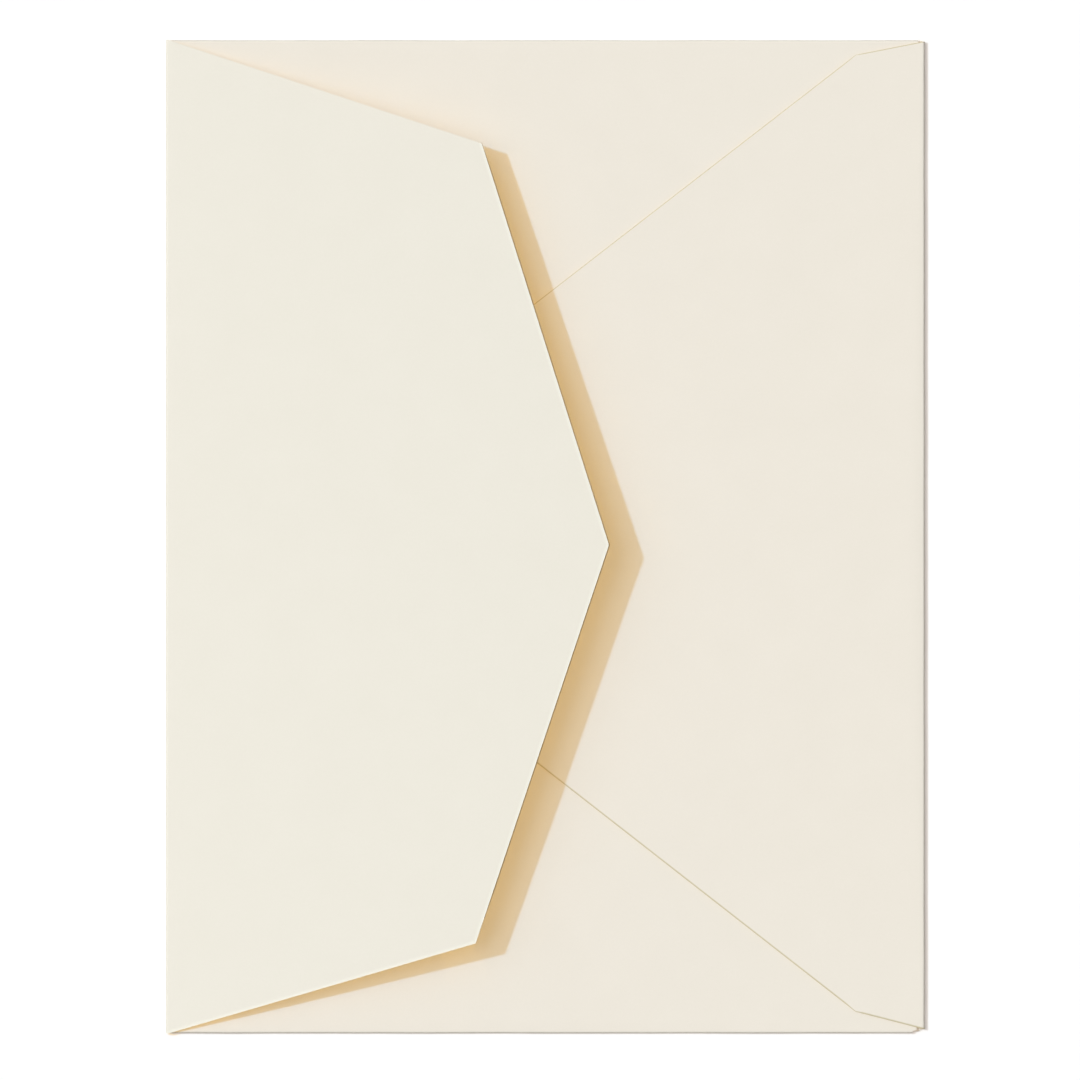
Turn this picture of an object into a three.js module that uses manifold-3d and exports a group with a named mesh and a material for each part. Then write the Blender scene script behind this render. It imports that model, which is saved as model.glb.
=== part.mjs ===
// A greeting card envelope that lies on its front, with its pointed closure flap half lifted.
// It is one die-cut sheet of paper: a front panel, two side flaps folded in, a bottom flap
// glued over them, and the closure flap. The pocket between the layers is open at the throat.
//
// Millimetres, +Z up. The closure flap's fold (the top fold) lies at -X and the bottom fold at
// +X, and both run along Y. The side folds lie at +Y (upper) and -Y (lower). The origin is on
// the table, below the middle of the envelope.

import * as THREE from "three";
import { mergeVertices } from "three/addons/utils/BufferGeometryUtils.js";
import Module from "manifold-3d";

// Finished size, over the folds
const ENVELOPE_WIDTH = 111.65; // top fold to bottom fold
const ENVELOPE_LENGTH = 146.05; // side fold to side fold

// Paper and the stack of layers
const PAPER = 0.15; // thickness of the sheet
const POCKET_HEIGHT = 0.28; // air between the front panel and the side flaps
const GLUE_BITE = 0.01; // how far the glued layers press into each other
const FLAP_CLEARANCE = 0.15; // air between the side flaps and the closure flap at its fold

// Closure flap
const FLAP_DEPTH = 65; // top fold to the point
const FLAP_POINT_SHIFT = -1.2; // the point's place beside the middle
const FLAP_POINT_RADIUS = 0.9;
const UPPER_SHOULDER_DEPTH = 46.45; // top fold to the shoulder
const UPPER_SHOULDER_INSET = 15.35; // side fold to the shoulder
const LOWER_SHOULDER_DEPTH = 45.5;
const LOWER_SHOULDER_INSET = 13.4;
const FLAP_LIFT = 5.4; // rise from the fold to the point's depth, in the middle
const FLAP_BOW = 0.3; // how far the flap arches above a straight line from fold to point
const FLAP_LIFT_TILT = 0.55; // how much more it rises at the lower end of the fold

// Bottom flap, glued over the side flaps
const BOTTOM_FLAP_SHORTFALL = 21; // from its blunt tip to the top fold
const BOTTOM_TIP_RADIUS = 16;
const BOTTOM_TIP_SHIFT = 0.7; // the tip's place beside the middle
const UPPER_SEAM_ROOT_INSET = 0.2; // side fold to the flap's edge, at the bottom fold
const UPPER_SEAM_DEPTH = 10.2; // bottom fold to the bend in the seam
const UPPER_SEAM_INSET = 2.15; // side fold to that bend
const LOWER_SEAM_ROOT_INSET = 0.6;
const LOWER_SEAM_DEPTH = 10.25;
const LOWER_SEAM_INSET = 3.15;

// Side flaps
const SEAM_OVERLAP = 12; // width of the glued overlap, square to the seam
const SIDE_TIP_GAP = 14; // between the tips of the two side flaps
const SIDE_TIP_RADIUS = 12;
const THROAT_START = 1.2; // top fold to the side flaps' edges, at the side folds
const UPPER_FOOT_GAP = 1.0; // bottom fold to the end of the side flap
const LOWER_FOOT_GAP = 1.9;

// Finish
const PAPER_COLOUR = 0xede7da;
const PAPER_ROUGHNESS = 0.9;

// Modelling
const TAB = 1; // how far a folded piece runs into the front panel to join it
const MARGIN = 1; // how far a cutter reaches past what it cuts
const ARC_STEPS = 8; // steps in a quarter of a fold or corner, and along the flap's bow

// Heights and places that follow from the sizes
const SIDE_TOP = 2 * PAPER + POCKET_HEIGHT;
const BOTTOM_TOP = SIDE_TOP + PAPER - GLUE_BITE;
const FLAP_ROOT_TOP = SIDE_TOP + FLAP_CLEARANCE + PAPER;
const POINT_TOP = FLAP_ROOT_TOP + FLAP_LIFT;
const CUTTER_HEIGHT = 2 * POINT_TOP;
const TOP_FOLD_X = -ENVELOPE_WIDTH / 2;
const BOTTOM_FOLD_X = ENVELOPE_WIDTH / 2;
const SIDE_FOLD_Y = ENVELOPE_LENGTH / 2;
const UP = new THREE.Vector3(0, 0, 1);
const RIGHT_ANGLE = Math.PI / 2;

const wasm = await Module();
wasm.setup();

// A closed geometry as a solid for joining and cutting
function toSolid(geometry) {
  const bare = geometry.clone();
  bare.deleteAttribute("normal");
  bare.deleteAttribute("uv");
  const merged = mergeVertices(bare);
  return new wasm.Manifold(
    new wasm.Mesh({
      numProp: 3,
      vertProperties: merged.attributes.position.array,
      triVerts: new Uint32Array(merged.index.array),
    }),
  );
}

// A solid as a geometry with one normal for each face
function toGeometry(solid) {
  const mesh = solid.getMesh();
  const geometry = new THREE.BufferGeometry();
  geometry.setAttribute("position", new THREE.BufferAttribute(mesh.vertProperties, 3));
  geometry.setIndex(new THREE.BufferAttribute(mesh.triVerts, 1));
  const faceted = geometry.toNonIndexed();
  faceted.computeVertexNormals();
  return faceted;
}

// The place on a round tip where an edge from outside meets it as a tangent.
// turn is -1 for an edge that runs to the tip, and 1 for one that comes from it.
function tangentPoint(from, tip, turn) {
  const toCentre = tip.centre.clone().sub(from);
  const distance = toCentre.length();
  const reach = Math.sqrt(distance ** 2 - tip.radius ** 2);
  const angle = toCentre.angle() + turn * Math.asin(tip.radius / distance);
  return new THREE.Vector2(Math.cos(angle), Math.sin(angle)).multiplyScalar(reach).add(from);
}

// Outline of a flap seen from above, anticlockwise: the points before its tip, the arc of the
// tip, and the points after it
function flapOutline(before, tip, after) {
  const start = tangentPoint(before.at(-1), tip, -1);
  const end = tangentPoint(after[0], tip, 1);
  const startAngle = start.clone().sub(tip.centre).angle();
  const endAngle = end.clone().sub(tip.centre).angle();
  const outline = new THREE.Shape(before);
  outline.absarc(tip.centre.x, tip.centre.y, tip.radius, startAngle, endAngle, false);
  after.forEach((point) => outline.lineTo(point.x, point.y));
  outline.closePath();
  return outline;
}

// An upright cutter with the given outline
function cutter(outline) {
  const geometry = new THREE.ExtrudeGeometry(outline, {
    depth: CUTTER_HEIGHT,
    bevelEnabled: false,
    curveSegments: ARC_STEPS,
  });
  geometry.translate(0, 0, -MARGIN);
  return toSolid(geometry);
}

// Side view of a sheet that lies on the table, turns over at a fold and lies back on itself.
// x counts outwards from the middle of the envelope, and y is the height.
function foldedSection(fold, top) {
  const outer = top / 2;
  const inner = outer - PAPER;
  const turn = fold - outer;
  const section = new THREE.Shape();
  section.moveTo(turn - TAB, 0);
  section.lineTo(turn, 0);
  section.absarc(turn, outer, outer, -RIGHT_ANGLE, RIGHT_ANGLE, false);
  section.lineTo(-fold, top);
  section.lineTo(-fold, top - PAPER);
  section.lineTo(turn, top - PAPER);
  section.absarc(turn, outer, inner, RIGHT_ANGLE, -RIGHT_ANGLE, true);
  section.lineTo(turn - TAB, PAPER);
  section.closePath();
  return section;
}

// Side view of the closure flap, which leaves its fold at a slope and arches out to its point
function liftedSection() {
  const outer = FLAP_ROOT_TOP / 2;
  const inner = outer - PAPER;
  const turn = ENVELOPE_WIDTH / 2 - outer;
  const run = FLAP_DEPTH - outer;
  const half = run / 2;
  const slope = Math.atan((FLAP_LIFT + 4 * FLAP_BOW) / run);
  const end = turn - run;
  const leave = (radius) => ({
    x: turn + radius * Math.sin(slope),
    y: outer + radius * Math.cos(slope),
  });
  const top = leave(outer);
  const under = leave(inner);
  const crest = half * Math.tan(slope);
  const section = new THREE.Shape();
  section.moveTo(turn - TAB, 0);
  section.lineTo(turn, 0);
  section.absarc(turn, outer, outer, -RIGHT_ANGLE, RIGHT_ANGLE - slope, false);
  section.quadraticCurveTo(turn - half, top.y + crest, end, POINT_TOP);
  section.lineTo(end, POINT_TOP - PAPER);
  section.quadraticCurveTo(turn - half, under.y + crest, under.x, under.y);
  section.absarc(turn, outer, inner, RIGHT_ANGLE - slope, -RIGHT_ANGLE, true);
  section.lineTo(turn - TAB, PAPER);
  section.closePath();
  return section;
}

// A sheet with the given side view, along a fold that faces outward
function bentSheet(section, foldLength, outward) {
  const length = foldLength + 2 * MARGIN;
  const geometry = new THREE.ExtrudeGeometry(section, {
    depth: length,
    bevelEnabled: false,
    curveSegments: ARC_STEPS,
  });
  geometry.translate(0, 0, -length / 2);
  const along = outward.clone().cross(UP);
  geometry.applyMatrix4(new THREE.Matrix4().makeBasis(outward, UP, along));
  return geometry;
}

// The flap rises more towards its lower end, in proportion to its height above its fold
function tiltLift(geometry) {
  const root = FLAP_ROOT_TOP - PAPER;
  const place = geometry.attributes.position;
  for (let i = 0; i < place.count; i += 1) {
    const rise = place.getZ(i) - root;
    const share = (-place.getY(i) / SIDE_FOLD_Y) * (FLAP_LIFT_TILT / FLAP_LIFT);
    if (rise > 0) place.setZ(i, root + rise * (1 + share));
  }
}

function closureFlap() {
  const outward = new THREE.Vector3(-1, 0, 0);
  const sheet = bentSheet(liftedSection(), ENVELOPE_LENGTH, outward);
  tiltLift(sheet);
  const lower = [
    new THREE.Vector2(TOP_FOLD_X - MARGIN, -SIDE_FOLD_Y),
    new THREE.Vector2(TOP_FOLD_X, -SIDE_FOLD_Y),
    new THREE.Vector2(TOP_FOLD_X + LOWER_SHOULDER_DEPTH, LOWER_SHOULDER_INSET - SIDE_FOLD_Y),
  ];
  const point = {
    centre: new THREE.Vector2(TOP_FOLD_X + FLAP_DEPTH - FLAP_POINT_RADIUS, FLAP_POINT_SHIFT),
    radius: FLAP_POINT_RADIUS,
  };
  const upper = [
    new THREE.Vector2(TOP_FOLD_X + UPPER_SHOULDER_DEPTH, SIDE_FOLD_Y - UPPER_SHOULDER_INSET),
    new THREE.Vector2(TOP_FOLD_X, SIDE_FOLD_Y),
    new THREE.Vector2(TOP_FOLD_X - MARGIN, SIDE_FOLD_Y),
  ];
  return toSolid(sheet).intersect(cutter(flapOutline(lower, point, upper)));
}

// The blunt tip of the bottom flap
function bottomTip() {
  return {
    centre: new THREE.Vector2(
      TOP_FOLD_X + BOTTOM_FLAP_SHORTFALL + BOTTOM_TIP_RADIUS,
      BOTTOM_TIP_SHIFT,
    ),
    radius: BOTTOM_TIP_RADIUS,
  };
}

// The bend in the seam beside the upper (side 1) or lower (side -1) fold
function seamBend(side) {
  const depth = side > 0 ? UPPER_SEAM_DEPTH : LOWER_SEAM_DEPTH;
  const inset = side > 0 ? UPPER_SEAM_INSET : LOWER_SEAM_INSET;
  return new THREE.Vector2(BOTTOM_FOLD_X - depth, side * (SIDE_FOLD_Y - inset));
}

function bottomFlap() {
  const outward = new THREE.Vector3(1, 0, 0);
  const section = foldedSection(BOTTOM_FOLD_X, BOTTOM_TOP);
  const sheet = bentSheet(section, ENVELOPE_LENGTH, outward);
  const upperRoot = SIDE_FOLD_Y - UPPER_SEAM_ROOT_INSET;
  const lowerRoot = LOWER_SEAM_ROOT_INSET - SIDE_FOLD_Y;
  const upper = [
    new THREE.Vector2(BOTTOM_FOLD_X + MARGIN, upperRoot),
    new THREE.Vector2(BOTTOM_FOLD_X, upperRoot),
    seamBend(1),
  ];
  const lower = [
    seamBend(-1),
    new THREE.Vector2(BOTTOM_FOLD_X, lowerRoot),
    new THREE.Vector2(BOTTOM_FOLD_X + MARGIN, lowerRoot),
  ];
  return toSolid(sheet).intersect(cutter(flapOutline(upper, bottomTip(), lower)));
}

// The side flap on the upper (side 1) or lower (side -1) fold. Its long edge runs under the
// bottom flap, parallel to the seam, and its short edge is one side of the throat.
function sideFlap(side) {
  const outward = new THREE.Vector3(0, side, 0);
  const sheet = bentSheet(foldedSection(SIDE_FOLD_Y, SIDE_TOP), ENVELOPE_WIDTH, outward);

  const bend = seamBend(side);
  const seam = tangentPoint(bend, bottomTip(), -side).sub(bend).normalize();
  const inward = new THREE.Vector2(-side * seam.y, side * seam.x);
  const edge = bend.clone().addScaledVector(inward, SEAM_OVERLAP);

  const footX = BOTTOM_FOLD_X - (side > 0 ? UPPER_FOOT_GAP : LOWER_FOOT_GAP);
  const foot = edge.clone().addScaledVector(seam, (footX - edge.x) / seam.x);

  const centre = edge.clone().addScaledVector(inward, -SIDE_TIP_RADIUS);
  const centreY = side * (SIDE_TIP_GAP / 2 + SIDE_TIP_RADIUS);
  centre.addScaledVector(seam, (centreY - centre.y) / seam.y);
  const tip = { centre, radius: SIDE_TIP_RADIUS };

  const outside = side * (SIDE_FOLD_Y + MARGIN);
  const throatX = TOP_FOLD_X + THROAT_START;
  const footEdge = [new THREE.Vector2(footX, outside), foot];
  const throatEdge = [
    new THREE.Vector2(throatX, side * SIDE_FOLD_Y),
    new THREE.Vector2(throatX, outside),
  ];
  const outline =
    side > 0
      ? flapOutline(throatEdge.reverse(), tip, footEdge.reverse())
      : flapOutline(footEdge, tip, throatEdge);
  return toSolid(sheet).intersect(cutter(outline));
}

// The panel between the folds. Each fold's own piece brings the paper of its bend.
function frontPanel() {
  const left = TOP_FOLD_X + FLAP_ROOT_TOP / 2;
  const right = BOTTOM_FOLD_X - BOTTOM_TOP / 2;
  const geometry = new THREE.BoxGeometry(right - left, ENVELOPE_LENGTH - SIDE_TOP, PAPER);
  geometry.translate((left + right) / 2, 0, PAPER / 2);
  return toSolid(geometry);
}

function envelope() {
  const folded = [closureFlap(), bottomFlap(), sideFlap(1), sideFlap(-1)];
  const sheet = folded.reduce((joined, flap) => joined.add(flap), frontPanel());
  const paper = new THREE.MeshStandardMaterial({
    color: PAPER_COLOUR,
    roughness: PAPER_ROUGHNESS,
    metalness: 0,
  });
  const mesh = new THREE.Mesh(toGeometry(sheet), paper);
  mesh.name = "envelope";
  return mesh;
}

const greetingCardEnvelope = new THREE.Group();
greetingCardEnvelope.add(envelope());

export default greetingCardEnvelope;
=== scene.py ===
"""A greeting card envelope lying on its front, with its pointed closure flap half lifted.

It is one sheet of paper, so it is one piece. The sheet's middle surface is worked out first:
the front panel, a round fold along each of its sides, and the flap that each fold turns in.
Both faces and the cut edge then follow from the paper's thickness.

Metres, +Z up. The closure flap's fold (the top fold) lies at -X and the bottom fold at +X.
The side folds lie at +Y (upper) and -Y (lower).
"""

import bpy
import numpy as np
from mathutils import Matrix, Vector


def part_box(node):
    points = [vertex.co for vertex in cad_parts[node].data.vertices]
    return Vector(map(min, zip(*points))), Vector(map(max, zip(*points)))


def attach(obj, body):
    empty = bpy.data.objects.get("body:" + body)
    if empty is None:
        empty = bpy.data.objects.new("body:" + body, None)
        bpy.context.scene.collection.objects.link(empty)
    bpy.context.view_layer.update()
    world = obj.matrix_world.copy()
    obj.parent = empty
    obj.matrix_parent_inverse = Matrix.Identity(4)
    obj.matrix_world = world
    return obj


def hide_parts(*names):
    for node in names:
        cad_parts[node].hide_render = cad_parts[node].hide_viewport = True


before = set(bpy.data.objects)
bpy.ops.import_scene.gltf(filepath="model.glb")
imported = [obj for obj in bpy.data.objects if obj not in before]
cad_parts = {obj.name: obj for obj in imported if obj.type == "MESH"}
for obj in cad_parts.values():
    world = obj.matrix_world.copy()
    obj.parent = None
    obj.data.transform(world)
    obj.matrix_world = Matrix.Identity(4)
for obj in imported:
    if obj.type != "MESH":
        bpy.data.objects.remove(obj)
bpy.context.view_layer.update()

MM = 0.001

# Finished size, over the folds. The other sizes below repeat those of the model's source, a few
# of them set against the photograph more finely.
LOW, HIGH = (np.array(corner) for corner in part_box("envelope"))
TOP_FOLD, BOTTOM_FOLD = LOW[0], HIGH[0]
SIDE_FOLD = HIGH[1]
WIDTH = BOTTOM_FOLD - TOP_FOLD

# Paper and the stack of layers, by the height of each layer's middle
PAPER = 0.15 * MM
POCKET_HEIGHT = 0.28 * MM
GLUE_FILM = 0.005 * MM
FLAP_CLEARANCE = 0.15 * MM
PANEL_Z = PAPER / 2
SIDE_Z = PANEL_Z + PAPER + POCKET_HEIGHT
BOTTOM_Z = SIDE_Z + PAPER + GLUE_FILM
CLOSURE_Z = SIDE_Z + PAPER + FLAP_CLEARANCE
POINT_Z = HIGH[2] - PAPER / 2

# Closure flap
FLAP_DEPTH = 65.1 * MM
FLAP_POINT_SHIFT = -1.2 * MM
FLAP_POINT_RADIUS = 0.9 * MM
UPPER_SHOULDER = (46.5 * MM, 15.33 * MM)  # depth from the top fold, inset from the side fold
LOWER_SHOULDER = (45.6 * MM, 13.37 * MM)
FLAP_LIFT = 5.4 * MM
FLAP_BOW = 0.3 * MM
FLAP_LIFT_TILT = 0.55 * MM
FLAP_COCKLE = 0.05 * MM  # gentle waves of a sheet that is free on three sides
FLAP_COCKLE_LENGTH = 70 * MM
FLAP_COCKLE_SKEW = 0.5  # how far the waves' crests turn from straight across
CUT_LEAN = 0.15 * MM  # how far the lower face's edge stands out past the upper face's
CUT_LEAN_DEPTHS = (45.5 * MM, 48.5 * MM)  # from the top fold, between which the lean sets in

# Bottom flap: its blunt tip, and the bend in each seam as (depth from the fold, inset)
BOTTOM_FLAP_SHORTFALL = 21 * MM
BOTTOM_TIP_RADIUS = 15.93 * MM
BOTTOM_TIP_SHIFT = 0.7 * MM
UPPER_BEND = (10.2 * MM, 2.2 * MM)
LOWER_BEND = (10.25 * MM, 3.21 * MM)
UPPER_ROOT_INSET = 0.26 * MM
LOWER_ROOT_INSET = 0.67 * MM

# Free lip of the bottom flap beside its lower seam, curled up where the seam nears the throat
LIP_WIDTH = 2.6 * MM
LIP_RISE = 0.35 * MM
LIP_SHARE = 0.45  # the share of the seam, from the tip, over which the curl settles

# Width of the painted seam shade along the bottom flap's edge, and of the painted highlight
# along the closure flap's edge
UPPER_SEAM_BAND = 0.2 * MM
LOWER_SEAM_BAND = 0.32 * MM
HIGHLIGHT_BAND = 0.6 * MM

# Side flaps
SEAM_OVERLAP = 12 * MM
SIDE_TIP_GAP = 14 * MM
SIDE_TIP_RADIUS = 12 * MM
THROAT_START = 0.6 * MM
UPPER_FOOT_GAP = 1.0 * MM
LOWER_FOOT_GAP = 1.9 * MM
LOWER_FOOT_SLANT = 0.65 * MM  # towards the bottom fold, over the flap's first row of cells

# Painted shade on each fold's crest, by fold, and the handling: the folds aren't ruler straight,
# and the glued back isn't dead flat
TOP_CREST_SHADE, BOTTOM_CREST_SHADE, UPPER_CREST_SHADE, LOWER_CREST_SHADE = 0.55, 0.25, 0.6, 1.0
FOLD_RIPPLE = 0.06 * MM
FOLD_RIPPLE_LENGTH = 26 * MM
BACK_COCKLE = 0.03 * MM
BACK_COCKLE_LENGTH = 38 * MM
BACK_COCKLE_INSET = 14 * MM  # from the folds, over which it dies out
BACK_COCKLE_SKEWS = (0.4, -0.3)  # so that the two waves cross at no right angle
WAVE_SHORTER, WAVE_LOWER = 1.7, 0.62  # each sine against the one before
FOLD_SINES, FLAP_SINES, BACK_SINES = 5, 3, 2  # in each wave

# Starts of the random draws
BACK_SEEDS = (3, 4)
COCKLE_SEED = 8
TOP_SEED, BOTTOM_SEED, UPPER_SEED, LOWER_SEED = 11, 12, 13, 14

# Mesh
PANEL_CELLS = (72, 96)  # along X and Y
FLAP_CELLS = 48  # from fold to edge
FOLD_CELLS = 12  # around a fold
POINT_CELLS = 6  # around the closure flap's point
BLUNT_CELLS = 16  # around a blunt tip
CORNER_GAP = 0.1 * MM  # between the panel's last two rows of points
WELD = 0.0001 * MM  # points closer than this are one
SHARP = np.radians(35)  # between two faces that meet in a hard edge
OUT_OF_REACH = 2  # widths of a mark, past which nothing shows

# View: straight down, with the envelope a little off the picture's middle
PICTURE = 1080  # pixels across
ENVELOPE_PIXELS = 759.25  # top fold to bottom fold
ENVELOPE_CENTRE = (545.4, 536.7)
CAMERA_HEIGHT = 2.0
SENSOR = 36  # millimetres, Blender's unit for it

# Light, as shares of what falls on the table: a hard lamp, a wide soft one around it, a
# ceiling and the room
KEY_LEVEL = 0.45
HALO_LEVEL = 0.20
CEILING_LEVEL = 0.15
ROOM_LEVEL = 0.20
KEY_ANGLE = np.radians(3.0)
HALO_ANGLE = np.radians(60)
CEILING_ANGLE = np.radians(90)
KEY_TOWARDS = (-0.93, 0.366)  # over the table, towards the key lamp
KEY_ELEVATION = np.radians(45)
TABLE_REACH = 6.0
TABLE_TOP = -0.01 * MM  # a hair below the paper, so that the two never share one plane

# Colours, as shares of red, green and blue light
CREAM_LIGHT = (0.868, 0.820, 0.730)  # the paper's palest tone
CREAM_DARK = (0.824, 0.776, 0.680)  # and its darkest
LONE_SHEET_SHADE = (0.957, 0.977, 0.977)  # times the cream: painted shade on the closure flap, where no other layer lies behind and light goes through
FOLD_SHADE_TINT = (0.60, 0.60, 0.59)  # times the cream: painted shade on a fold's crest
SEAM_SHADE_TINT = (0.63, 0.58, 0.38)  # times the cream: painted shade along the bottom flap's cut edges, where it lies on the side flaps
EDGE_HIGHLIGHT_TINT = (1.09, 1.11, 1.10)  # times the cream: a painted highlight along the closure flap's edge
UNDERSIDE_SHADE_TINT = (0.90, 0.84, 0.76)  # times the cream: painted shade below the flap, which lets light through
CUT_SHADE = (0.59, 0.41, 0.205)  # where the paper was cut: painted shade, a deeper brown than the paper
FLAP_GLOW = (0.873, 0.694, 0.31)  # what each face of the closure flap lets through
LAYERS_GLOW = (0.65, 0.57, 0.49)  # the same for the layers that lie on each other
WHITE = (1.0, 1.0, 1.0)
TABLE_WHITE = (0.92, 0.92, 0.92)
TABLE_LIFT = 0.11  # added for the camera, so that the lit table is pure white

# Paper surface
CLOUD_SIZE = 7 * MM
TOOTH_SIZE = 0.42 * MM
TOOTH_DEPTH = 0.006 * MM
CLOUD_DETAIL, TOOTH_DETAIL = 3, 4  # finer and finer layers in each noise
CLOUD_SHARE = 0.5  # of the tone, and the tooth's is the rest
NOISE_ROUGHNESS = 0.55
MARK_DROP = 0.03 * MM  # how far the bump rounds the bottom flap's edge down, across the seam band
PAPER_ROUGHNESS = (0.84, 0.94)
PAPER_IOR = 1.45


def waves(along, seed, longest, count=FOLD_SINES):
    """A smooth wandering line between about -1 and 1: a sum of sines, each shorter and lower
    than the one before, with phases drawn from the seed."""
    phases = np.random.RandomState(seed).uniform(0, 2 * np.pi, count)
    order = np.arange(count)
    lengths = longest / WAVE_SHORTER**order
    sizes = WAVE_LOWER**order
    parts = sizes * np.sin(2 * np.pi * along[..., None] / lengths + phases)
    return parts.sum(-1) / sizes.sum()


def ease(share):
    """0 below 0, 1 above 1, and 3 t^2 - 2 t^3 between."""
    t = np.clip(share, 0, 1)
    return t * t * (3 - 2 * t)


def tangent_point(start, centre, radius, turn):
    """Where a straight edge from start touches a round tip: the leg of a right triangle whose
    other leg is the radius. turn is -1 for an edge that runs to the tip anticlockwise around
    the flap, and 1 for one that comes from it."""
    gap = centre - start
    distance = np.hypot(*gap)
    reach = np.sqrt(distance**2 - radius**2)
    angle = np.arctan2(gap[1], gap[0]) + turn * np.arcsin(radius / distance)
    return start + reach * np.array([np.cos(angle), np.sin(angle)])


def tipped_edge(start, centre, radius, end, columns, tip_cells):
    """A flap's outer edge as columns points: straight from start, anticlockwise around the
    round tip, and straight to end."""
    first = tangent_point(start, centre, radius, -1)
    last = tangent_point(end, centre, radius, 1)
    begin = np.arctan2(*(first - centre)[::-1])
    sweep = (np.arctan2(*(last - centre)[::-1]) - begin) % (2 * np.pi)
    angles = begin + sweep * np.linspace(0, 1, tip_cells + 1)
    arc = centre + radius * np.stack([np.cos(angles), np.sin(angles)], 1)
    straight = columns - tip_cells - 1
    runs = np.hypot(*(first - start)), np.hypot(*(end - last))
    before = int(round(straight * runs[0] / sum(runs)))
    lead = start + (first - start) * np.linspace(0, 1, before, endpoint=False)[:, None]
    tail = last + (end - last) * np.linspace(0, 1, straight - before + 1)[1:, None]
    return np.concatenate([lead, arc, tail])


def edge_distance(flat, line):
    """Distance on the flat sheet from each point of a flap's grid to a line of points along its
    cut edge. Each point is dropped square onto every short stretch of that line, and the
    nearest foot counts."""
    start, run = line[:-1], np.diff(line, axis=0)
    length = np.maximum((run**2).sum(-1), WELD**2)
    offset = flat[..., None, :] - start
    share = np.clip((offset * run).sum(-1) / length, 0, 1)
    return np.linalg.norm(offset - share[..., None] * run, axis=-1).min(-1)


def folded_flap(root, outward, flap_z, edge, height, seed, crest_shade, leave=0.0):
    """One flap with its fold. root and edge are the points of the fold's start and of the
    flap's outer edge, seen from above and running anticlockwise. The fold is an arc from
    straight down to straight up, less the leave angle: root + outward * r cos(a), with the
    height PANEL_Z + r + r sin(a). The flap runs straight across from the fold to its edge,
    root + t * (edge - root), at height(x, y). Gives the points, the same points on the flat
    sheet before it was folded, and how much painted shade darkens them, crest_shade * cos(a)
    on the fold."""
    radius = (flap_z - PANEL_Z) / 2
    along = root @ np.array([-outward[1], outward[0]])
    ripple = FOLD_RIPPLE * (1 + waves(along, seed, FOLD_RIPPLE_LENGTH)) / 2
    angles = np.linspace(-np.pi / 2, np.pi / 2 - leave, FOLD_CELLS + 1)[:, None]
    reach = (radius - ripple) * np.cos(angles)
    fold = root + reach[..., None] * outward
    all_along = np.ones_like(reach)
    fold_z = (PANEL_Z + radius * (1 + np.sin(angles))) * all_along
    fold_sheet = root + (radius * (angles + np.pi / 2))[..., None] * outward

    start = fold[-1]
    share = np.linspace(0, 1, FLAP_CELLS + 1)[1:, None, None]
    flap = start + share * (edge - start)
    flap_z = height(flap[..., 0], flap[..., 1])
    depth = (start - flap) @ outward
    arc = radius * (np.pi - leave)
    flap_sheet = flap + (arc + 2 * depth)[..., None] * outward

    points = np.concatenate([np.dstack([fold, fold_z]), np.dstack([flap, flap_z])])
    # Painted shade on the fold's crest, darkest where the fold faces straight out
    fold_shade = np.concatenate([crest_shade * np.cos(angles) * all_along, np.zeros_like(flap_z)])
    return points, np.concatenate([fold_sheet, flap_sheet]), fold_shade


def back_cockle(x, y):
    """Height that the glued back gains or loses: two crossed waves that die out at the folds."""
    inside = np.minimum.reduce([x - TOP_FOLD, BOTTOM_FOLD - x, SIDE_FOLD - y, SIDE_FOLD + y])
    skewed = x + BACK_COCKLE_SKEWS[0] * y, y + BACK_COCKLE_SKEWS[1] * x
    across, along = (
        waves(line, seed, BACK_COCKLE_LENGTH, BACK_SINES)
        for line, seed in zip(skewed, BACK_SEEDS)
    )
    return BACK_COCKLE * across * along * ease(inside / BACK_COCKLE_INSET)


def seam_bend(side):
    """Where the upper (1) or lower (-1) seam bends towards its corner."""
    depth, inset = UPPER_BEND if side > 0 else LOWER_BEND
    return np.array([BOTTOM_FOLD - depth, side * (SIDE_FOLD - inset)])


def bottom_tip():
    """The middle of the bottom flap's round tip."""
    return np.array([TOP_FOLD + BOTTOM_FLAP_SHORTFALL + BOTTOM_TIP_RADIUS, BOTTOM_TIP_SHIFT])


def seam_run(side):
    """A seam's long stretch from its bend to the round tip: its direction and its length."""
    bend = seam_bend(side)
    run = tangent_point(bend, bottom_tip(), BOTTOM_TIP_RADIUS, -side) - bend
    return run / np.hypot(*run), np.hypot(*run)


def side_height(x, y):
    """The side flaps lie one pocket above the panel."""
    return SIDE_Z + back_cockle(x, y)


def bottom_height(x, y):
    """The side flaps' height and one layer, and a lip that curls up at the lower seam: its rise
    falls off as the square of the distance from the cut edge."""
    bend = seam_bend(-1)
    run, length = seam_run(-1)
    share = ((x - bend[0]) * run[0] + (y - bend[1]) * run[1]) / length
    inward = (x - bend[0]) * run[1] - (y - bend[1]) * run[0]
    rise = LIP_RISE * ease((share - 1 + LIP_SHARE) / LIP_SHARE)
    curl = np.clip(1 - np.abs(inward) / LIP_WIDTH, 0, 1) ** 2
    return BOTTOM_Z + back_cockle(x, y) + rise * curl


def closure_turn():
    """From the top fold to the middle of its round, level with the panel's end."""
    return (CLOSURE_Z + PAPER / 2) / 2


def closure_slope():
    """The angle at which the closure flap leaves its fold. As every parabola's,
    its tangent there climbs, over the whole run, by the lift and four times the bow."""
    return np.arctan((FLAP_LIFT + 4 * FLAP_BOW) / (FLAP_DEPTH - closure_turn()))


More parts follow.
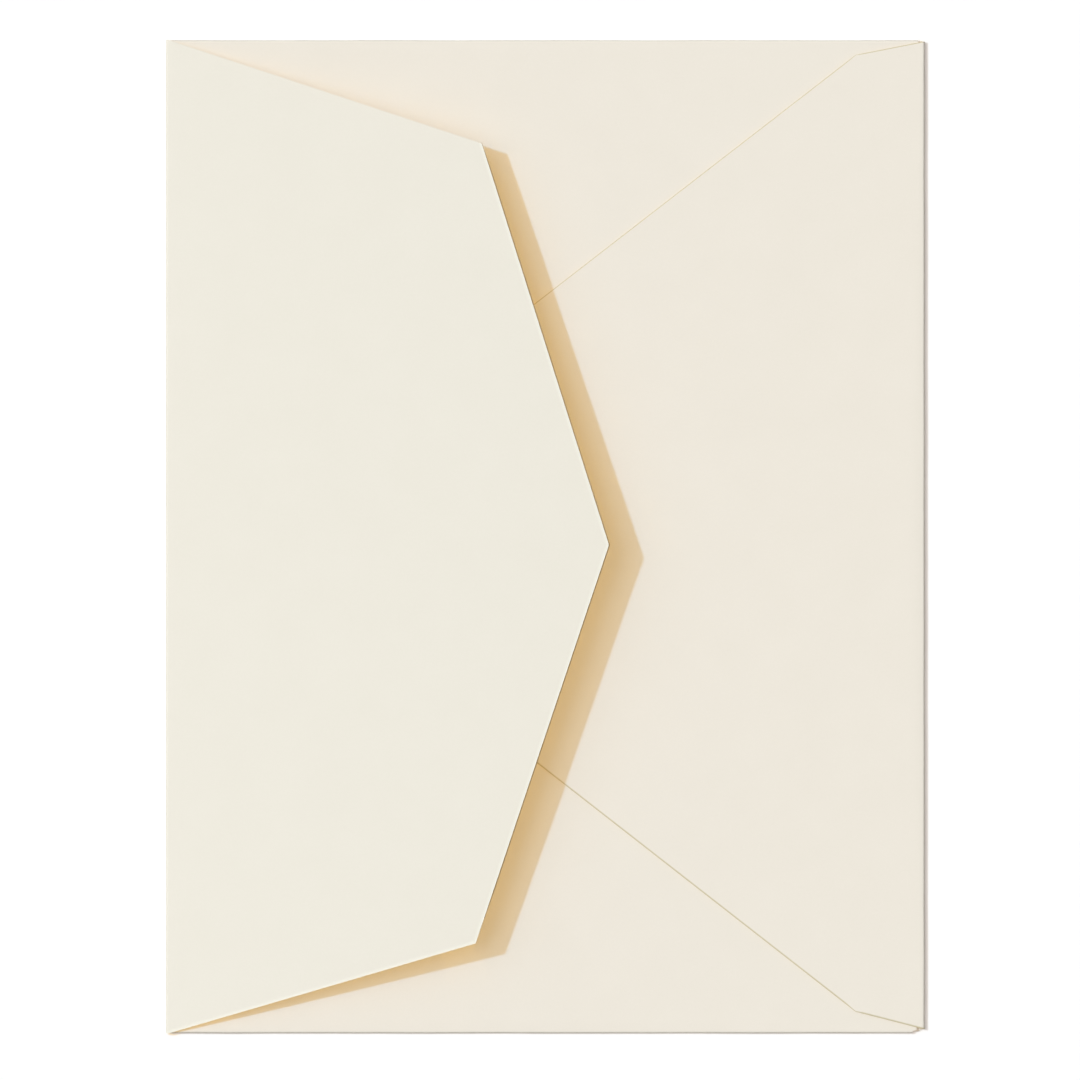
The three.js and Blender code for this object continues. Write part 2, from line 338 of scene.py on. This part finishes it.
def closure_height(x, y):
    """A parabola that leaves the fold at its slope and arches over to the point, higher towards
    the lower side fold, with a slight cockle that grows from the fold."""
    turn = closure_turn()
    radius = (CLOSURE_Z - PANEL_Z) / 2
    slope = closure_slope()
    start = turn + radius * np.cos(slope)
    run = FLAP_DEPTH - turn
    t = (x - TOP_FOLD - turn) / run
    crest = start + run / 2 * np.tan(slope)
    height = start * (1 - t) ** 2 + 2 * crest * t * (1 - t) + POINT_Z * t**2
    tilt = -y / SIDE_FOLD * FLAP_LIFT_TILT / FLAP_LIFT
    skewed = y + FLAP_COCKLE_SKEW * x
    wave = FLAP_COCKLE * waves(skewed, COCKLE_SEED, FLAP_COCKLE_LENGTH, FLAP_SINES) * ease(t)
    return start + (height - start) * (1 + tilt) + wave


def side_flap_edge(side, root):
    """The upper (1) or lower (-1) side flap's outer edge, from the throat to the foot. Its long
    stretch runs parallel to the seam, one overlap further in."""
    bend = seam_bend(side)
    seam, _ = seam_run(side)
    inward = side * np.array([-seam[1], seam[0]])
    edge = bend + SEAM_OVERLAP * inward
    foot = edge + seam * (root[-1, 0] - edge[0]) / seam[0]
    centre = edge - SIDE_TIP_RADIUS * inward
    centre = centre + seam * (side * (SIDE_TIP_GAP / 2 + SIDE_TIP_RADIUS) - centre[1]) / seam[1]
    if side > 0:
        return tipped_edge(root[0], centre, SIDE_TIP_RADIUS, foot, len(root), BLUNT_CELLS)
    return tipped_edge(foot, centre, SIDE_TIP_RADIUS, root[0], len(root), BLUNT_CELLS)[::-1]


def panel_plan():
    """The front panel's grid, seen from above. Its outermost lines are where the folds start.
    The corner points sit halfway between the ends of the folds that meet there, so that each
    corner is cut off by a small chamfer."""
    left, right, side = (
        TOP_FOLD + closure_turn(),
        BOTTOM_FOLD - (BOTTOM_Z + PAPER / 2) / 2,
        SIDE_FOLD - (SIDE_Z + PAPER / 2) / 2,
    )
    lower_foot, upper_foot = BOTTOM_FOLD - LOWER_FOOT_GAP, BOTTOM_FOLD - UPPER_FOOT_GAP
    upper_root, lower_root = SIDE_FOLD - UPPER_ROOT_INSET, LOWER_ROOT_INSET - SIDE_FOLD
    middle_xs = np.linspace(TOP_FOLD + THROAT_START, lower_foot, PANEL_CELLS[0] + 1)
    middle_ys = np.linspace(lower_root, side - CORNER_GAP, PANEL_CELLS[1] + 1)
    xs = np.concatenate([[left], middle_xs, [upper_foot, right]])
    ys = np.concatenate([[-side], middle_ys, [side]])
    plan = np.stack(np.meshgrid(xs, ys, indexing="ij"), -1)
    plan[0, 0] = left, -SIDE_FOLD
    plan[0, -1] = left, SIDE_FOLD
    plan[-1, -2] = right, upper_root
    plan[-1, 0] = (lower_foot + BOTTOM_FOLD) / 2, (lower_root - SIDE_FOLD) / 2
    plan[-1, -1] = (upper_foot + BOTTOM_FOLD) / 2, (upper_root + SIDE_FOLD) / 2
    plan[-2, 0] = (plan[-3, 0] + plan[-1, 0]) / 2  # halfway along the lower chamfer
    return plan


def envelope_sheet():
    """Points, faces and values of the sheet's middle surface. The panel is a grid whose
    outermost points meet the folds, and each fold and flap is a grid that starts on them.
    Points that coincide are then welded. A quad is split from its first corner to its third, so
    those at a grid's first side start one corner later, and the bends at both ends of a flap
    are split alike. A point's values are its place on the flat sheet, how much painted shade
    darkens it on a fold's crest, how far it lies from the bottom flap's seams in widths of the
    band of painted seam shade and from the closure flap's edge in widths of its painted
    highlight, 1 on the closure flap, and how far it lies from the bottom flap's short sides,
    again in widths of the seam band."""
    plan = panel_plan()
    panel = np.dstack([plan, np.full(plan.shape[:2], PANEL_Z)])

    root = plan[0, ::-1]
    upper = np.array([TOP_FOLD + UPPER_SHOULDER[0], SIDE_FOLD - UPPER_SHOULDER[1]])
    lower = np.array([TOP_FOLD + LOWER_SHOULDER[0], LOWER_SHOULDER[1] - SIDE_FOLD])
    point = np.array([TOP_FOLD + FLAP_DEPTH - FLAP_POINT_RADIUS, FLAP_POINT_SHIFT])
    edge = tipped_edge(lower, point, FLAP_POINT_RADIUS, upper, len(root), POINT_CELLS)[::-1]
    outward = np.array([-1.0, 0.0])
    closure = folded_flap(
        root, outward, CLOSURE_Z, edge, closure_height, TOP_SEED, TOP_CREST_SHADE, closure_slope()
    )

    root = plan[-1, 1:-1]
    lower, upper = seam_bend(-1), seam_bend(1)
    edge = tipped_edge(
        upper, bottom_tip(), BOTTOM_TIP_RADIUS, lower, len(root), BLUNT_CELLS
    )[::-1]
    outward = np.array([1.0, 0.0])
    bottom = folded_flap(
        root, outward, BOTTOM_Z, edge, bottom_height, BOTTOM_SEED, BOTTOM_CREST_SHADE
    )

    # Side, its line of the panel's grid and where that ends, seed, and painted crest shade
    sides = []
    for side, row, foot, seed, crest_shade in (
        (1, -1, -1, UPPER_SEED, UPPER_CREST_SHADE),
        (-1, 0, -2, LOWER_SEED, LOWER_CREST_SHADE),
    ):
        root = plan[1:foot, row]
        edge = side_flap_edge(side, root)
        if side > 0:
            root, edge = root[::-1], edge[::-1]
        outward = np.array([0.0, float(side)])
        flap = folded_flap(root, outward, SIDE_Z, edge, side_height, seed, crest_shade)
        if side < 0:  # its points and their places on the flat sheet
            for places in flap[:2]:
                places[FOLD_CELLS + 1 :, -1, 0] += LOWER_FOOT_SLANT
        sides.append(flap)

    points, values, faces, count = [], [], [], 0
    clean = np.zeros(plan.shape[:2])
    for grid, flat, fold_shade in [(panel, plan, clean), closure, bottom, *sides]:
        rows, columns = grid.shape[:2]
        index = count + np.arange(rows * columns).reshape(rows, columns)
        corners = index[:-1, :-1], index[:-1, 1:], index[1:, 1:], index[1:, :-1]
        quads = np.stack(corners, -1)
        quads[:, 0] = np.roll(quads[:, 0], 1, axis=-1)
        faces.append(quads.reshape(-1, 4))
        points.append(grid.reshape(-1, 3))
        seam = foot = edge_highlight = np.full_like(fold_shade, OUT_OF_REACH)
        # The bottom flap's seams and short sides carry a band of painted shade
        if grid is bottom[0]:
            width = np.where(grid[..., 1] > 0, UPPER_SEAM_BAND, LOWER_SEAM_BAND)
            seam = edge_distance(flat, flat[-1]) / width
            ends = edge_distance(flat, flat[:, 0]), edge_distance(flat, flat[:, -1])
            foot = np.minimum(*ends) / width
        # The closure flap's edge carries a painted highlight
        if grid is closure[0]:
            line = np.concatenate([flat[-1], flat[-2::-1, -1]])
            edge_highlight = edge_distance(flat, line) / HIGHLIGHT_BAND
        lifted = np.full_like(fold_shade, grid is closure[0])
        table = np.dstack([flat, fold_shade, seam, edge_highlight, lifted, foot])
        values.append(table.reshape(-1, table.shape[-1]))
        count += rows * columns
    return weld(np.concatenate(points), np.concatenate(values), np.concatenate(faces))


def weld(points, values, faces):
    """Gives points that coincide one number. A quad with two corners in one place stays a quad
    here, with a number twice."""
    keys = np.round(points / WELD).astype(np.int64)
    _, first, number = np.unique(keys, axis=0, return_index=True, return_inverse=True)
    return points[first], values[first], number.reshape(-1)[faces]


def thickened(points, faces, lean):
    """Both faces of the sheet and its cut edge. Each point moves half the paper's thickness out
    and in along its normal, and a strip of quads closes each edge that only one face has. The
    inner face's edge then moves outward by lean, along the edge's direction crossed with the
    normal, so that the cut isn't quite square."""
    a, b, c, d = (points[faces[:, k]] for k in range(4))
    face_normals = np.cross(c - a, d - b)
    normals = np.zeros_like(points)
    for corner in range(4):
        np.add.at(normals, faces[:, corner], face_normals)
    normals /= np.linalg.norm(normals, axis=1, keepdims=True)

    count = len(points)
    edges = np.concatenate([faces[:, [k, (k + 1) % 4]] for k in range(4)])
    edges = edges[edges[:, 0] != edges[:, 1]]
    codes, back = edges @ [count, 1], edges @ [1, count]
    rim = edges[~np.isin(codes, back)]
    away = np.zeros_like(points)
    for end in range(2):
        side = np.cross(points[rim[:, 1]] - points[rim[:, 0]], normals[rim[:, end]])
        np.add.at(away, rim[:, end], side)
    away /= np.maximum(np.linalg.norm(away, axis=1, keepdims=True), WELD**2)

    outer = points + normals * PAPER / 2
    inner = points - normals * PAPER / 2 + away * lean[:, None]
    cut = np.stack([rim[:, 1], rim[:, 0], rim[:, 0] + count, rim[:, 1] + count], 1)
    shell = np.concatenate([faces, faces[:, ::-1] + count, cut])
    return np.concatenate([outer, inner]), shell, len(cut)


def build_envelope():
    """The envelope's mesh, with what its material reads: each point's place on the flat sheet,
    how much painted shade darkens it on a fold's crest, how far it lies from the edges of the
    bottom flap and of the closure flap, whether it is lifted and on that flap's underside, and
    which faces are cut."""
    points, values, faces = envelope_sheet()
    lifted = values[:, 5]
    begin, full = CUT_LEAN_DEPTHS
    depth = points[:, 0] - TOP_FOLD
    lean = CUT_LEAN * lifted * ease((depth - begin) / (full - begin))
    both, shell, cut_count = thickened(points, faces, lean)
    polygons = [list(dict.fromkeys(face)) for face in shell.tolist()]
    mesh = bpy.data.meshes.new("envelope_paper")
    mesh.from_pydata(both.tolist(), [], polygons)
    mesh.shade_smooth()
    mesh.set_sharp_from_angle(angle=SHARP)

    underside = np.concatenate([np.zeros_like(lifted), lifted])
    values = np.concatenate([values, values])
    place = np.column_stack([values[:, :2], np.zeros(len(values))])
    cut = np.zeros(len(shell))
    cut[-cut_count:] = 1
    stored = (
        ("sheet", "FLOAT_VECTOR", "POINT", "vector", place),
        ("fold_shade", "FLOAT", "POINT", "value", values[:, 2]),
        ("seam_edge", "FLOAT", "POINT", "value", values[:, 3]),
        ("foot_edge", "FLOAT", "POINT", "value", values[:, 6]),
        ("closure_edge", "FLOAT", "POINT", "value", values[:, 4]),
        ("lifted", "FLOAT", "POINT", "value", values[:, 5]),
        ("underside", "FLOAT", "POINT", "value", underside),
        ("cut_edge", "FLOAT", "FACE", "value", cut),
    )
    for name, kind, domain, field, data in stored:
        mesh.attributes.new(name, kind, domain).data.foreach_set(field, data.ravel())
    mesh.validate()
    envelope = bpy.data.objects.new("paper_envelope", mesh)
    bpy.context.scene.collection.objects.link(envelope)
    return envelope


class Socket:
    """A socket in a material's nodes. A sum with a number or another socket, this one first,
    adds a Math node. One without an output stands for the material's empty tree, and only adds
    nodes."""

    def __init__(self, tree, output=None):
        self.tree = tree
        self.output = output

    def node(self, kind, settings=(), values=(), output=0):
        """Adds a node, with its settings first and then the value or link of each socket."""
        made = self.tree.nodes.new(kind)
        for name, setting in dict(settings).items():
            setattr(made, name, setting)
        for name, value in dict(values).items():
            if isinstance(value, Socket):
                self.tree.links.new(value.output, made.inputs[name])
            else:
                made.inputs[name].default_value = value
        return Socket(self.tree, made.outputs[output] if len(made.outputs) else None)

    def sum(self, operation, first, second):
        """One Math node on two values."""
        return self.node("ShaderNodeMath", {"operation": operation}, {0: first, 1: second})

    def __add__(self, other):
        return self.sum("ADD", self, other)

    def __sub__(self, other):
        return self.sum("SUBTRACT", self, other)

    def __mul__(self, other):
        return self.sum("MULTIPLY", self, other)

    def mix(self, first, second, blend="MIX"):
        """A blend of two colours by this number. The colours are the Mix node's sockets 6 and 7
        and its output 2."""
        settings = {"data_type": "RGBA", "blend_type": blend}
        return self.node("ShaderNodeMix", settings, {0: self, 6: first, 7: second}, output=2)

    def attribute(self, name, output="Fac"):
        """A value that the mesh carries."""
        return self.node("ShaderNodeAttribute", {"attribute_name": name}, output=output)

    def seen_rays(self):
        """1 for what the camera sees, directly, in a reflection or through glass."""
        kinds = ("Is Camera Ray", "Is Glossy Ray", "Is Transmission Ray")
        camera, glossy, through = (
            self.node("ShaderNodeLightPath", output=kind) for kind in kinds
        )
        return camera + glossy + through


def new_material(name):
    """An empty material, and the wrapper that adds its nodes."""
    material = bpy.data.materials.new(name)
    material.use_nodes = True
    material.node_tree.nodes.clear()
    return material, Socket(material.node_tree)


def opaque(colour):
    """A colour with the fourth number that a colour socket takes."""
    return (*colour, 1.0)


def cream_paper():
    """Smooth uncoated paper: faint clouds where the fibres lie thicker and a fine tooth. Painted
    shade makes a thin yellower line along the bottom flap's edge, which the bump rounds down,
    and darkens the folds' crests. A painted highlight makes a paler line along the closure
    flap's edge. Painted shade makes that flap, where a single sheet stands free, slightly darker
    and cooler, and its underside warmer and darker, and gives the cut faces a deeper tone. A
    lamp's light comes through that flap, warmer by each face, and less of it through the layers
    that lie on each other."""
    material, tree = new_material("cream_paper")
    place = tree.attribute("sheet", "Vector")

    def noise(size, detail):
        """Wandering values around a half, in clumps of the given size."""
        values = {
            "Vector": place,
            "Scale": 1 / size,
            "Detail": detail,
            "Roughness": NOISE_ROUGHNESS,
        }
        return tree.node("ShaderNodeTexNoise", {}, values)

    def beside(distance):
        """1 at an edge, falling smoothly to 0 one width away."""
        settings = {"interpolation_type": "SMOOTHSTEP"}
        values = {"Value": distance, "To Min": 1.0, "To Max": 0.0}
        return tree.node("ShaderNodeMapRange", settings, values)

    clouds = noise(CLOUD_SIZE, CLOUD_DETAIL)
    tooth = noise(TOOTH_SIZE, TOOTH_DETAIL)
    edges = tree.attribute("seam_edge"), tree.attribute("foot_edge")
    mark = beside(tree.sum("MINIMUM", *edges))
    tone = clouds * CLOUD_SHARE + tooth * (1 - CLOUD_SHARE)
    cream = tone.mix(opaque(CREAM_DARK), opaque(CREAM_LIGHT))
    lifted = tree.attribute("lifted")
    # Painted shade on the closure flap, which stands free
    cream = lifted.mix(cream, opaque(LONE_SHEET_SHADE), "MULTIPLY")
    # Painted shade on the closure flap's underside
    cream = tree.attribute("underside").mix(cream, opaque(UNDERSIDE_SHADE_TINT), "MULTIPLY")
    # Painted shade darkens each fold's crest
    cream = tree.attribute("fold_shade").mix(cream, opaque(FOLD_SHADE_TINT), "MULTIPLY")
    # Painted highlight along the closure flap's edge
    edge_highlight = beside(tree.attribute("closure_edge"))
    cream = edge_highlight.mix(cream, opaque(EDGE_HIGHLIGHT_TINT), "MULTIPLY")
    # Painted shade along the bottom flap's edges, also rounded down by the bump
    cream = mark.mix(cream, opaque(SEAM_SHADE_TINT), "MULTIPLY")
    # Painted shade on the cut faces
    cream = tree.attribute("cut_edge").mix(cream, opaque(CUT_SHADE))
    low, high = PAPER_ROUGHNESS
    surface_height = tooth * TOOTH_DEPTH - mark * MARK_DROP
    bump = tree.node("ShaderNodeBump", {}, {"Distance": 1.0, "Height": surface_height})
    paper = tree.node(
        "ShaderNodeBsdfPrincipled",
        {},
        {
            "Base Color": cream,
            "Roughness": tooth * (high - low) + low,
            "Normal": bump,
            "IOR": PAPER_IOR,
        },
    )
    flap_glow = tree.node("ShaderNodeBsdfTransparent", {}, {"Color": opaque(FLAP_GLOW)})
    layers_glow = tree.node("ShaderNodeBsdfTransparent", {}, {"Color": opaque(LAYERS_GLOW)})
    glow = tree.node("ShaderNodeMixShader", {}, {0: lifted, 1: layers_glow, 2: flap_glow})
    lamp_ray = tree.node("ShaderNodeLightPath", output="Is Shadow Ray")
    shown = tree.node("ShaderNodeMixShader", {}, {0: lamp_ray, 1: paper, 2: glow})
    tree.node("ShaderNodeOutputMaterial", {}, {"Surface": shown})
    return material


def white_table():
    """Matt white. The lift for the camera keeps the lit table pure white and its shadows soft."""
    material, tree = new_material("white_table")
    matt = tree.node("ShaderNodeBsdfDiffuse", {}, {"Color": opaque(TABLE_WHITE)})
    lift = tree.seen_rays() * TABLE_LIFT
    glow = tree.node("ShaderNodeEmission", {}, {"Color": opaque(WHITE), "Strength": lift})
    shown = tree.node("ShaderNodeAddShader", {}, {0: matt, 1: glow})
    tree.node("ShaderNodeOutputMaterial", {}, {"Surface": shown})
    return material


def build_table():
    """A wide square sheet of points (+-reach, +-reach, top)."""
    signs = np.array([(-1, -1), (1, -1), (1, 1), (-1, 1)])
    corners = np.column_stack([signs * TABLE_REACH, np.full(len(signs), TABLE_TOP)])
    mesh = bpy.data.meshes.new("table")
    mesh.from_pydata(corners.tolist(), [], [range(len(signs))])
    mesh.materials.append(white_table())
    table = bpy.data.objects.new("table", mesh)
    bpy.context.scene.collection.objects.link(table)
    return table


def add_sun(name, level, angle, elevation):
    """A lamp whose light on the table has the given level."""
    across = np.array(KEY_TOWARDS) / np.hypot(*KEY_TOWARDS)
    towards = np.append(across * np.cos(elevation), np.sin(elevation))
    lamp = bpy.data.lights.new(name, "SUN")
    lamp.energy = level * np.pi / np.sin(elevation)
    lamp.angle = angle
    sun = bpy.data.objects.new(name, lamp)
    sun.rotation_euler = Vector(towards).to_track_quat("Z", "Y").to_euler()
    bpy.context.scene.collection.objects.link(sun)


def light_room():
    """The same soft light from all around, which the camera sees as white."""
    world = bpy.data.worlds.new("studio")
    world.use_nodes = True
    world.node_tree.nodes.clear()
    tree = Socket(world.node_tree)
    strength = tree.seen_rays() * (1 - ROOM_LEVEL) + ROOM_LEVEL
    room = tree.node("ShaderNodeBackground", {}, {"Color": opaque(WHITE), "Strength": strength})
    tree.node("ShaderNodeOutputWorld", {}, {"Surface": room})
    bpy.context.scene.world = world


def place_camera():
    """Straight above, at the height and lens that give the photograph's scale."""
    pixel = WIDTH / ENVELOPE_PIXELS
    lens = bpy.data.cameras.new("camera")
    lens.sensor_width = SENSOR
    lens.lens = SENSOR * CAMERA_HEIGHT / (PICTURE * pixel)
    camera = bpy.data.objects.new("camera", lens)
    camera.location = (
        (PICTURE / 2 - ENVELOPE_CENTRE[0]) * pixel,
        (ENVELOPE_CENTRE[1] - PICTURE / 2) * pixel,
        CAMERA_HEIGHT,
    )
    bpy.context.scene.collection.objects.link(camera)
    bpy.context.scene.camera = camera


envelope = build_envelope()
envelope.data.materials.append(cream_paper())
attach(envelope, "root")
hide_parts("envelope")
build_table()
add_sun("key", KEY_LEVEL, KEY_ANGLE, KEY_ELEVATION)
add_sun("halo", HALO_LEVEL, HALO_ANGLE, KEY_ELEVATION)
add_sun("ceiling", CEILING_LEVEL, CEILING_ANGLE, np.pi / 2)
light_room()
place_camera()
bpy.context.scene.view_settings.view_transform = "Standard"
